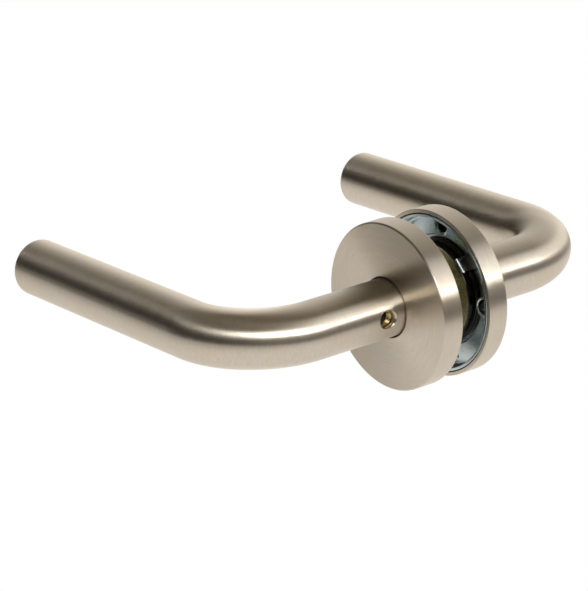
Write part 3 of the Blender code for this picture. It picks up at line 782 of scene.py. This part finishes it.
def thread_tool(radius, low, high):
    """Return a cutter with a helical thread on it."""
    sides = THREAD_SIDES
    rows = round((high - low) / THREAD_PITCH * THREAD_ROWS)
    verts, faces = [], []
    for row in range(rows + 1):
        depth = low + (high - low) * row / rows
        for i in range(sides):
            phase = (depth / THREAD_PITCH - i / sides) % 1.0
            ridge = 1.0 - abs(2.0 * phase - 1.0)
            verts.append((*polar(radius - THREAD_DEPTH * ridge, 360.0 * i / sides), depth))
    for row in range(rows):
        for i in range(sides):
            j = (i + 1) % sides
            faces.append((row * sides + i, row * sides + j,
                          (row + 1) * sides + j, (row + 1) * sides + i))
    faces.append(tuple(reversed(range(sides))))
    faces.append(tuple(range(rows * sides, (rows + 1) * sides)))
    mesh = bpy.data.meshes.new("thread")
    mesh.from_pydata(verts, [], faces)
    return mesh


def neck_core(s):
    """Core of the neck with its square socket, flats, ring groove and threaded cross hole."""
    ring_back, ring_front = s.depths("retaining_ring")
    groove = s.boss_radius - GROOVE_DEPTH
    shoulder = s.drive_front + TOUCH
    shoulder_front = s.depths("lever_tube")[0] - TOUCH
    outline = rounded([
        (0.0, s.core_front, 0), (s.boss_radius, s.core_front, CORE_NOSE),
        (s.boss_radius, shoulder_front, CUT_EDGE), (s.tube_radius, shoulder_front, CUT_EDGE),
        (s.tube_radius, shoulder, CUT_EDGE), (s.boss_radius, shoulder, CUT_EDGE),
        (s.boss_radius, ring_front + TOUCH, CUT_EDGE), (groove, ring_front + TOUCH, CUT_EDGE),
        (groove, ring_back - TOUCH, CUT_EDGE), (s.boss_radius, ring_back - TOUCH, CUT_EDGE),
        (s.boss_radius, s.core_back, PRESSED_BEND), (0.0, s.core_back, 0)], False)
    mesh = lathe("neck_core", outline, False, TUBE_SIDES)
    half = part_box("square_spindle")[1].z + SOCKET_PLAY
    back, front = s.core_back - BEYOND, s.core_front + BEYOND
    mesh = combine(mesh, box((-half, -half, back), (half, half, front)))
    flat = s.boss_radius - FLAT_DEPTH
    for side in (-1, 1):
        near, far = sorted((side * flat, side * (s.boss_radius + BEYOND)))
        mesh = combine(mesh, box((-2 * s.tube_radius, near, back),
                                 (2 * s.tube_radius, far, shoulder)))
    radius = (s.grub_high.z - s.grub_low.z) / 2 + THREAD_PLAY
    mesh = combine(mesh, thread_tool(radius, 0.0, s.boss_radius + BEYOND), grub_matrix(s))
    return s.add("neck_core", mesh, "lever", "turned_brass")


def grub_screw(s):
    """Socket screw with a hexagon recess and chamfered rims."""
    radius = (s.grub_high.z - s.grub_low.z) / 2
    near, far = s.grub_low.x, s.grub_high.x - GRUB_SUNK
    outline = rounded([(0.0, far, 0), (radius, far, PRESSED_BEND), (radius, near, GRUB_POINT),
                       (0.0, near, 0)], False)
    mesh = lathe("grub_screw", outline, False, THREAD_SIDES)
    corner = GRUB_KEY / math.sqrt(3.0)
    mesh = combine(mesh, cylinder(corner, far - GRUB_KEY_DEPTH, far + BEYOND, 6))
    return s.add("grub_screw", mesh, "lever", "blackened_steel", grub_matrix(s))


def rose_cover(s):
    """Shallow round cover with a slightly crowned face and a crisp, softened face edge."""
    hole = s.tube_radius + COVER_PLAY
    inner = s.rose_radius - COVER_WALL
    middle = (hole + s.rose_radius) / 2
    outline = rounded([
        (hole, s.rose_depth, CUT_EDGE),
        (middle, s.rose_depth - COVER_CROWN_MIDDLE * COVER_CROWN, COVER_CROWN_RADIUS),
        (s.rose_radius, s.rose_depth - COVER_CROWN, COVER_FACE_EDGE),
        (s.rose_radius, 0.0, RIM_EDGE), (inner, 0.0, CUT_EDGE),
        (inner, s.rose_depth - COVER_WALL, COVER_INNER_BEND),
        (hole, s.rose_depth - COVER_WALL, CUT_EDGE)])
    return s.add("rose_cover", lathe("rose_cover", outline), "cover", "satin_stainless")


def lug_mesh(s):
    """Return a strip that stands up from the plate and bends in over the housing."""
    inner = s.flange_radius + TOUCH
    outer = inner + LUG_THICKNESS
    top, root = s.lug_tip, s.well_floor + PLATE_WALL / 2
    under, tip = top + LUG_THICKNESS, inner - LUG_HOOK
    outline = rounded([
        (outer, top, LUG_BEND), (outer, root, 0), (inner, root, 0),
        (inner, under, LUG_INNER_BEND), (tip, under, SHEET_EDGE), (tip, top, SHEET_EDGE)])
    mesh = prism(outline, -LUG_WIDTH / 2, LUG_WIDTH / 2, CUT_EDGE)
    mesh.transform(Matrix.Rotation(math.pi / 2, 4, "X"))
    return mesh


def mounting_plate(s):
    """Pressed zinc-plated cup with dished screw holes, raised collars, windows and lugs."""
    bush_hole = s.bush_flange_radius - PLATE_BUSH_LAP
    bore = s.cup_radius - PLATE_WALL
    outline = rounded([
        (bush_hole, s.plate_front, SHEET_EDGE),
        (s.well_radius + PLATE_WALL, s.plate_front, PLATE_FRONT_BEND),
        (s.well_radius + PLATE_WALL, s.rim_floor + PLATE_WALL, PRESSED_BEND),
        (s.cup_radius, s.rim_floor + PLATE_WALL, PLATE_CORNER),
        (s.cup_radius, 0.0, PLATE_OPEN_EDGE), (bore, 0.0, RIM_EDGE),
        (bore, s.rim_floor, PLATE_INNER_CORNER), (s.well_radius, s.rim_floor, PRESSED_BEND),
        (s.well_radius, s.well_floor, PRESSED_BEND), (bush_hole, s.well_floor, SHEET_EDGE)])
    mesh = lathe("mounting_plate", outline)
    for degrees in COLLAR_ANGLES:
        place = turn(s.local(degrees)) @ Matrix.Translation((s.fixing_radius, 0.0, 0.0))
        root, tip = s.rim_floor + PLATE_WALL / 2, s.rim_floor - COLLAR_HEIGHT
        collar = rounded([(0.0, root, 0), (COLLAR_RADIUS, root, 0),
                          (COLLAR_RADIUS, tip, PRESSED_BEND), (0.0, tip, 0)], False)
        mesh = combine(mesh, lathe("collar", collar, False, CUTTER_STEPS), place, "UNION")
    for degrees in HOLE_ANGLES + COLLAR_ANGLES:
        place = turn(s.local(degrees)) @ Matrix.Translation((s.fixing_radius, 0.0, 0.0))
        top = s.rim_floor - COLLAR_HEIGHT if degrees in COLLAR_ANGLES else s.rim_floor
        flare = COLLAR_FLARE if degrees in COLLAR_ANGLES else SCREW_FLARE
        front = s.plate_front + BEYOND
        tool = [(0.0, front), (SCREW_HOLE, front), (SCREW_HOLE, top + flare * SCREW_FLARE_SLOPE),
                (SCREW_HOLE + flare, top - SEAM), (SCREW_HOLE + flare, top - SKIM),
                (0.0, top - SKIM)]
        mesh = combine(mesh, lathe("hole", tool, False, HOLE_STEPS), place)
    for degrees in LUG_ANGLES:
        place = turn(s.local(degrees))
        half = LUG_WIDTH / 2 + WINDOW_MARGIN
        window = box((s.well_radius - LUG_THICKNESS / 4, -half, s.rim_floor - SKIM),
                     (s.well_radius + WINDOW_LENGTH, half, s.plate_front + BEYOND))
        mesh = combine(mesh, window, place)
        mesh = combine(mesh, lug_mesh(s), place, "UNION")
    return s.add("mounting_plate", mesh, "rose", "zinc_plate")


def bearing_bush(s):
    """Flanged nylon bush with softened edges."""
    bore = s.tube_radius + BUSH_PLAY
    sleeve = s.bush_flange_radius - BUSH_LAP
    front = s.depths("bearing_bush")[1]
    flange_front = s.bush_back + BUSH_FLANGE
    outline = rounded([
        (bore, front, SHEET_EDGE), (sleeve, front, RIM_EDGE), (sleeve, flange_front, FINE_EDGE),
        (s.bush_flange_radius, flange_front, CUT_EDGE),
        (s.bush_flange_radius, s.bush_back, CUT_EDGE), (bore, s.bush_back, CUT_EDGE)])
    return s.add("bearing_bush", lathe("bearing_bush", outline), "rose", "black_nylon")


def spring_housing(s):
    """Pressed cap over the spring with a rolled shoulder, a thin flange and its leg slot."""
    outer = s.flange_radius - HOUSING_FLANGE
    inner = outer - HOUSING_WALL
    hole = s.boss_radius + TOUCH
    outline = rounded([
        (inner, s.housing_rim, PRESSED_BEND), (s.flange_radius, s.housing_rim, RIM_EDGE),
        (s.flange_radius, s.housing_rim - HOUSING_WALL, RIM_EDGE),
        (outer, s.housing_rim - HOUSING_WALL, PRESSED_BEND),
        (outer, s.housing_face, HOUSING_SHOULDER), (hole, s.housing_face, CUT_EDGE),
        (hole, s.housing_face + HOUSING_WALL, CUT_EDGE),
        (inner, s.housing_face + HOUSING_WALL, PRESSED_BEND)])
    mesh = lathe("spring_housing", outline)
    stop = box((s.drive_radius - DRIVE_RECESS + TOUCH, -STOP_WIDTH / 2,
                s.housing_face + HOUSING_WALL / 2),
               (s.drive_radius, STOP_WIDTH / 2, s.drive_front))
    mesh = combine(mesh, stop, turn(s.local(STOP_ANGLE)), "UNION")
    middle = s.side * LEG_BEND
    slot = box((inner - TOUCH, middle - LEG_SLOT / 2, s.housing_rim - SPRING_WIRE - TOUCH),
               (s.flange_radius + BEYOND, middle + LEG_SLOT / 2, s.housing_rim + BEYOND))
    mesh = combine(mesh, slot, turn(s.local(SPRING_START)))
    return s.add("spring_housing", mesh, "rose", "yellow_passivated")


def spring_path(s):
    """Return the spring's centreline: outer leg, coil and inner leg."""
    radius = s.bush_flange_radius + SPRING_MARGIN + SPRING_WIRE / 2
    low = s.housing_rim - SPRING_WIRE / 2
    high = low - SPRING_TURNS * (SPRING_WIRE + SPRING_COIL_GAP)
    corner = [math.pi / 2 * i / LEG_STEPS for i in range(LEG_STEPS + 1)]
    outer = [(s.flange_radius - TOUCH, -LEG_BEND)]
    outer += [(radius + LEG_BEND - LEG_BEND * math.cos(a), -LEG_BEND * math.sin(a))
              for a in reversed(corner[1:])]
    start, end = math.radians(SPRING_START), math.radians(SPRING_START + 360 * SPRING_TURNS)
    points = [Vector((*(Matrix.Rotation(start, 2) @ Vector(p)), low)) for p in outer]
    count = round(COIL_STEPS * SPRING_TURNS)
    for i in range(count + 1):
        share = i / count
        place = polar(radius, SPRING_START + 360.0 * SPRING_TURNS * share)
        points.append(Vector((*place, low + (high - low) * share)))
    inner = [(radius - LEG_BEND + LEG_BEND * math.cos(a), LEG_BEND * math.sin(a))
             for a in corner[1:]]
    inner.append((s.drive_radius - SPRING_WIRE, LEG_BEND))
    points += [Vector((*(Matrix.Rotation(end, 2) @ Vector(p)), high)) for p in inner]
    return [Vector((p.x, -s.side * p.y, p.z)) for p in points], low, high


def torsion_spring(s):
    """Return the spring as one swept wire in a fixed shape; the real spring twists as the lever
    turns.
    """
    path, low, high = spring_path(s)
    last = len(path) - 1
    radius = SPRING_WIRE / 2
    sections = ([(0, 0.0), (0, radius)] + [(i, radius) for i in range(1, last)]
                + [(last, radius), (last, 0.0)])
    mesh = sweep("torsion_spring", path, sections, WIRE_SIDES)
    mesh.transform(s.matrix)
    mesh.materials.append(materials["spring_steel"])
    mesh.shade_smooth()
    mesh.set_sharp_from_angle(angle=math.radians(WIRE_CREASE))
    spring = show(s.name + "_torsion_spring_skin", mesh)
    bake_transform(spring)
    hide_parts(s.name + "_torsion_spring")
    return spring


def stepped_outline(s, radius, recesses, steps):
    """Return a disc's outline whose rim drops to a smaller radius over each recess."""
    points = []
    start = 0.0
    for first, last, depth in sorted(recesses):
        points += arc(radius, start, first, steps) + arc(depth, first, last, steps)
        start = last
    points += arc(radius, start, 360.0, steps)[:-1]
    return [(x, -s.side * y) for x, y in points]


def drive_ring(s):
    """Ring on the core's flats, with the recess for the stop and the notch for the spring."""
    half = math.degrees(math.atan2(STOP_WIDTH / 2, s.drive_radius - DRIVE_RECESS))
    margin = half + STOP_CLEARANCE
    recess = (STOP_ANGLE - LEVER_TRAVEL - margin, STOP_ANGLE + margin,
              s.drive_radius - DRIVE_RECESS)
    leg = ((SPRING_START + 360.0 * SPRING_TURNS) % 360.0
           + math.degrees(math.atan2(LEG_BEND, s.drive_radius)))
    notch_half = math.degrees(math.atan2(SPRING_WIRE / 2 + TOUCH, s.drive_radius))
    notch = (leg - notch_half, leg + notch_half, s.drive_radius - SPRING_WIRE - 2 * TOUCH)
    rim = stepped_outline(s, s.drive_radius, [recess, notch], RIM_STEPS)
    mesh = prism(rim, s.drive_back, s.drive_front, FINE_EDGE)
    flat = s.boss_radius - FLAT_DEPTH + DRIVE_PLAY
    bore = s.boss_radius + DRIVE_PLAY
    corner = math.degrees(math.asin(flat / bore))
    hole = (arc(bore, -corner, corner, RIM_STEPS)
            + arc(bore, 180.0 - corner, 180.0 + corner, RIM_STEPS))
    mesh = combine(mesh, prism(hole, s.drive_back - BEYOND, s.drive_front + BEYOND))
    return s.add("drive_ring", mesh, "lever", "yellow_passivated")


def thrust_washer(s):
    """Washer between the housing and the retaining ring."""
    outer = s.node_radius("thrust_washer")
    back, front = s.depths("thrust_washer")
    hole = s.boss_radius + WASHER_PLAY
    outline = rounded([(hole, front, FINE_EDGE), (outer, front, SHEET_EDGE),
                       (outer, back, SHEET_EDGE), (hole, back, FINE_EDGE)])
    return s.add("thrust_washer", lathe("thrust_washer", outline), "lever", "zinc_plate")


def retaining_ring(s):
    """Open ring with an eye at each end, sprung into the core's groove."""
    back, front = s.depths("retaining_ring")
    bore = s.boss_radius - GROOVE_DEPTH + RING_PLAY
    outer = bore + RING_WIDTH
    ear = outer + RING_EAR
    opening, first = RING_OPENING, RING_OPENING + RING_EAR_ANGLE
    eased = first + RING_EAR_EASE
    outline = (arc(ear, opening, first, EAR_STEPS)
               + arc(outer, eased, 360.0 - eased, RING_STEPS)
               + arc(ear, 360.0 - first, 360.0 - opening, EAR_STEPS)
               + arc(bore, 360.0 - opening, opening, RING_STEPS))
    mesh = prism([(x, -s.side * y) for x, y in outline], back, front, RING_EDGE)
    half = opening + RING_EAR_ANGLE / 2
    for middle in (half, 360.0 - half):
        x, y = polar((bore + ear) / 2, middle)
        place = Matrix.Translation((x, -s.side * y, 0.0))
        eye = cylinder(RING_EYE, back - BEYOND, front + BEYOND, RIM_STEPS)
        mesh = combine(mesh, eye, place)
    return s.add("retaining_ring", mesh, "lever", "spring_steel")


def square_spindle():
    """Drawn square bar with chamfered corners and cropped ends."""
    low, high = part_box("square_spindle")
    half = high.z
    corners = ((half, half), (-half, half), (-half, -half), (half, -half))
    outline = rounded([(x, y, SPINDLE_CHAMFER) for x, y in corners])
    mesh = prism(outline, low.y, high.y, SPINDLE_END)
    mesh.transform(Matrix.Rotation(-math.pi / 2, 4, "X"))
    return finish_piece("square_spindle", mesh, "spindle", "zinc_plate")


for side in (Side("outside", -1), Side("inside", 1)):
    for build in (lever_tube, grip_cap, neck_core, grub_screw, rose_cover, mounting_plate,
                  bearing_bush, spring_housing, torsion_spring, drive_ring, thrust_washer,
                  retaining_ring):
        build(side)
square_spindle()


# --- Stage, light and camera --------------------------------------------------------------------

FLOOR_DROP = 0.10
FLOOR_SIZE = 14.0
WHITE = (1.0, 1.0, 1.0)
UPWARDS = (0.0, 0.0, 1.0)

# Directions of the bright backdrop, of the end of the paper on the floor, and of the wall.
BACKDROP = (-0.5, 0.866, 0.0)
PAPER_END = (0.78, 0.62, 0.0)
WALL = (0.95, 0.3, 0.0)

# What the metal mirrors of each. The paper's two strengths are near the roses and farther out.
BACKDROP_TONE = (1.28, 1.24, 1.17)
PAPER_STRENGTHS = (1.08, 0.64)
PAPER_TONE = (1.0, 0.98, 0.95)
PAPER_BEHIND = (1.12, 1.09, 1.04)
BEYOND_PAPER = (0.05, 0.045, 0.04)
ROOM_DARK = (0.035, 0.032, 0.027)
ROOM_CEILING = (0.19, 0.165, 0.125)
WALL_TONE = (0.33, 0.31, 0.28)

# Soft boxes as the metal mirrors them: azimuth from -Y towards +X, elevation, radius, edge (all
# in degrees) and strength.
SOFT_BOXES = (
    (108.0, 20.0, 4.0, 4.0, 22.0),
    (76.0, 30.0, 6.0, 5.0, 17.0),
    (55.0, 37.5, 5.0, 4.0, 10.0),
    (34.0, 43.0, 4.0, 4.0, 3.0),
    (136.0, 34.0, 14.0, 12.0, 1.6),
)


def dot(tree, vector, direction):
    """Return how much of a vector lies along a fixed direction."""
    return add_node(tree, "ShaderNodeVectorMath", {0: vector, 1: direction},
                    operation="DOT_PRODUCT").outputs["Value"]


def heading(azimuth, elevation):
    """Return the direction at an azimuth, from -Y towards +X, and an elevation."""
    a, e = math.radians(azimuth), math.radians(elevation)
    return Vector((math.sin(a) * math.cos(e), -math.cos(a) * math.cos(e), math.sin(e)))


def seen_directly(tree, seen, mirrored, output):
    """Show one colour to the camera and another to the metal that mirrors it."""
    direct = add_node(tree, "ShaderNodeLightPath").outputs["Is Camera Ray"]
    tree.links.new(mix_colour(tree, direct, mirrored, seen), output)


def make_floor():
    """Plain white floor, far enough below for the grips to swing down over it.

    What the metal mirrors of it fades with the distance, as the light on a sheet of paper does.
    It is clear from below, so that the underside of the handles can be looked at.
    """
    material = bpy.data.materials.new("pale_floor")
    material.use_nodes = True
    tree = material.node_tree
    tree.nodes.remove(tree.nodes["Principled BSDF"])
    glow = add_node(tree, "ShaderNodeEmission", {"Strength": 1.0})
    clear = add_node(tree, "ShaderNodeBsdfTransparent")
    below = add_node(tree, "ShaderNodeNewGeometry").outputs["Backfacing"]
    sheet = add_node(tree, "ShaderNodeMixShader",
                     {0: below, 1: glow.outputs[0], 2: clear.outputs[0]})
    tree.links.new(sheet.outputs[0], tree.nodes["Material Output"].inputs["Surface"])
    place = object_place(tree)
    distance = distance_over(tree, place, (1.0, 1.0, 0.0))
    near = spread(tree, distance, 0.1, 0.6, *PAPER_STRENGTHS)
    far = spread(tree, distance, 0.6, 2.2, 0.0, 0.45, True)
    front = math_node(tree, "SUBTRACT", near, far)
    behind = spread(tree, dot(tree, place, BACKDROP), -0.02, 0.25, 0.0, 1.0, True)
    warm = mix_colour(tree, front, (0.0, 0.0, 0.0), PAPER_TONE)
    paper = mix_colour(tree, behind, warm, PAPER_BEHIND)
    beyond = spread(tree, dot(tree, place, PAPER_END), 0.34, 0.66, 0.0, 0.75, True)
    mirrored = mix_colour(tree, beyond, paper, BEYOND_PAPER)
    seen_directly(tree, WHITE, mirrored, glow.inputs["Color"])
    half = FLOOR_SIZE / 2
    mesh = bpy.data.meshes.new("floor")
    mesh.from_pydata([(-half, -half, 0.0), (half, -half, 0.0), (half, half, 0.0),
                      (-half, half, 0.0)], [], [(0, 1, 2, 3)])
    mesh.materials.append(material)
    floor = show("floor", mesh)
    floor.location.z = cad_low.z - FLOOR_DROP


def make_world():
    """White studio whose dark room, backdrop and soft boxes show only in the metal."""
    world = bpy.data.worlds.new("studio")
    world.use_nodes = True
    bpy.context.scene.world = world
    tree = world.node_tree
    direction = add_node(tree, "ShaderNodeTexCoord").outputs["Generated"]
    height = dot(tree, direction, UPWARDS)
    room = mix_colour(tree, spread(tree, height, 0.42, 0.97, 0.0, 1.0, True),
                      ROOM_DARK, ROOM_CEILING)
    wall = spread(tree, dot(tree, direction, WALL), 0.35, 0.85, 0.0, 1.0, True)
    sides = mix_colour(tree, wall, room, WALL_TONE)
    behind = spread(tree, dot(tree, direction, BACKDROP), 0.42, 0.88, 0.0, 1.0)
    colour = mix_colour(tree, behind, sides, BACKDROP_TONE)
    for azimuth, elevation, radius, edge, strength in SOFT_BOXES:
        inner = math.cos(math.radians(max(radius - edge, 0.0)))
        outer = math.cos(math.radians(radius + edge))
        share = spread(tree, dot(tree, direction, heading(azimuth, elevation)), outer, inner,
                       0.0, 1.0, True)
        colour = mix_colour(tree, share, colour, (strength, strength, strength))
    background = tree.nodes["Background"]
    seen_directly(tree, WHITE, colour, background.inputs["Color"])
    background.inputs["Strength"].default_value = 1.0


def camera_axes():
    """Return the camera's right, up and backward directions."""
    back = heading(CAMERA_AZIMUTH, CAMERA_ELEVATION)
    level = Vector((*polar(1.0, CAMERA_AZIMUTH), 0.0))
    upright = back.cross(level)
    c, s = math.cos(math.radians(CAMERA_ROLL)), math.sin(math.radians(CAMERA_ROLL))
    return c * level + s * upright, c * upright - s * level, back


def make_camera():
    """Camera at the angle of the reference view."""
    right, up, back = camera_axes()
    data = bpy.data.cameras.new("camera")
    data.lens = CAMERA_LENS
    data.clip_start, data.clip_end = 0.01, 50.0
    camera = show("camera", data)
    place = right * CAMERA_RIGHT + up * CAMERA_UP + back * CAMERA_DISTANCE
    turned = Matrix((right, up, back)).transposed().to_4x4()
    camera.matrix_world = Matrix.Translation(place) @ turned
    bpy.context.scene.camera = camera


make_floor()
make_world()
make_camera()
bpy.context.scene.view_settings.view_transform = "Standard"
